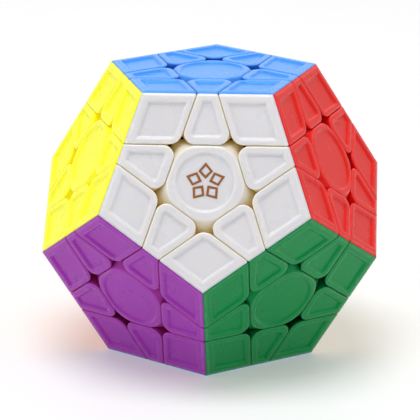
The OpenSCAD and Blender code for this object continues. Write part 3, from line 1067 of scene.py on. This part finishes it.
def studio_floor():
    """Pale floor that curves up to a backdrop behind the puzzle."""
    profile = [(FLOOR_FRONT, 0.0), (FLOOR_BACK, 0.0)]
    for k in range(1, CURVE_STEPS + 1):
        angle = math.pi / 2 * k / CURVE_STEPS
        y = FLOOR_BACK + FLOOR_CURVE * math.sin(angle)
        profile.append((y, FLOOR_CURVE * (1 - math.cos(angle))))
    profile.append((FLOOR_BACK + FLOOR_CURVE, BACKDROP_TOP))
    bm = bmesh.new()
    rows = []
    for y, z in profile:
        rows.append([bm.verts.new((x, y, z)) for x in (-FLOOR_HALF, FLOOR_HALF)])
    for lower, upper in zip(rows, rows[1:]):
        bm.faces.new((lower[0], lower[1], upper[1], upper[0]))
    for face in bm.faces:
        face.smooth = True
    mesh = bpy.data.meshes.new("studio_floor")
    bm.to_mesh(mesh)
    bm.free()
    obj = bpy.data.objects.new("studio_floor", mesh)
    bpy.context.scene.collection.objects.link(obj)
    n = Nodes("floor_paper")
    fibres = n.noise(scale=30, detail=2.0, roughness=0.5)
    paper = n.blend(fibres, (0.67, 0.67, 0.67), (0.69, 0.69, 0.69))
    n.link(paper, n.shader.inputs["Base Color"])
    n.shader.inputs["Roughness"].default_value = 0.8
    n.shader.inputs["Emission Color"].default_value = (1, 1, 1, 1)
    n.shader.inputs["Emission Strength"].default_value = FLOOR_GLOW
    mesh.materials.append(n.material)


studio_floor()


def area_light(name, location, target, size, power):
    """Round soft light: places in metres, power in watts."""
    data = bpy.data.lights.new(name, "AREA")
    data.shape = "DISK"
    data.size = size
    data.energy = power
    obj = bpy.data.objects.new(name, data)
    obj.location = location
    aim_line = Vector(target) - Vector(location)
    obj.rotation_euler = aim_line.to_track_quat("-Z", "Y").to_euler()
    bpy.context.scene.collection.objects.link(obj)


LOWER_HALF = (0, 0, 0.03)
UPPER_HALF = (0, 0, 0.05)
area_light("key_above", (-0.1, -0.1, 1.2), LOWER_HALF, size=0.75, power=9.0)
area_light("fill_left", (-1.1, -0.5, 0.5), LOWER_HALF, size=0.8, power=2.0)
area_light("fill_right", (1.1, -0.5, 0.5), LOWER_HALF, size=0.8, power=1.5)
area_light("back_sheen", (0, 1.05, 0.4), UPPER_HALF, size=0.9, power=0.7)


def studio_sky():
    """White surroundings, brighter round the horizon than overhead."""
    world = bpy.data.worlds.new("studio")
    bpy.context.scene.world = world
    world.use_nodes = True
    tree = world.node_tree
    split = tree.nodes.new("ShaderNodeSeparateXYZ")
    rise = tree.nodes.new("ShaderNodeMapRange")
    coords = tree.nodes.new("ShaderNodeTexCoord")
    tree.links.new(coords.outputs["Generated"], split.inputs["Vector"])
    tree.links.new(split.outputs["Z"], rise.inputs["Value"])
    rise.inputs["From Min"].default_value = 0.0
    rise.inputs["From Max"].default_value = SKY_RISE
    rise.inputs["To Min"].default_value = SKY_LOW
    rise.inputs["To Max"].default_value = SKY_HIGH
    background = tree.nodes["Background"]
    background.inputs["Color"].default_value = (1, 1, 1, 1)
    tree.links.new(rise.outputs["Result"], background.inputs["Strength"])


studio_sky()
bpy.context.scene.view_settings.view_transform = "Standard"

# metres from the puzzle centre, angles, and millimetres of lens and sensor
CAMERA_PLACE = Vector((0.03627, -0.75633, 0.23144))
CAMERA_HEADING = math.radians(2.776)
CAMERA_FALL = math.radians(17.051)
CAMERA_ROLL = math.radians(0.118)
CAMERA_LENS = 275.2
CAMERA_SENSOR = 36.0
CAMERA_NEAR = 0.05


def make_camera():
    """Long lens a little above the puzzle, looking at its white face."""
    data = bpy.data.cameras.new("camera")
    data.lens = CAMERA_LENS
    data.sensor_width = CAMERA_SENSOR
    data.clip_start = CAMERA_NEAR
    obj = bpy.data.objects.new("camera", data)
    obj.location = CAMERA_PLACE + CENTRE
    turn = Matrix.Rotation(CAMERA_HEADING, 4, "Z")
    tip = Matrix.Rotation(math.pi / 2 - CAMERA_FALL, 4, "X")
    roll = Matrix.Rotation(CAMERA_ROLL, 4, "Z")
    obj.rotation_euler = (turn @ tip @ roll).to_euler()
    bpy.context.scene.collection.objects.link(obj)
    bpy.context.scene.camera = obj


make_camera()
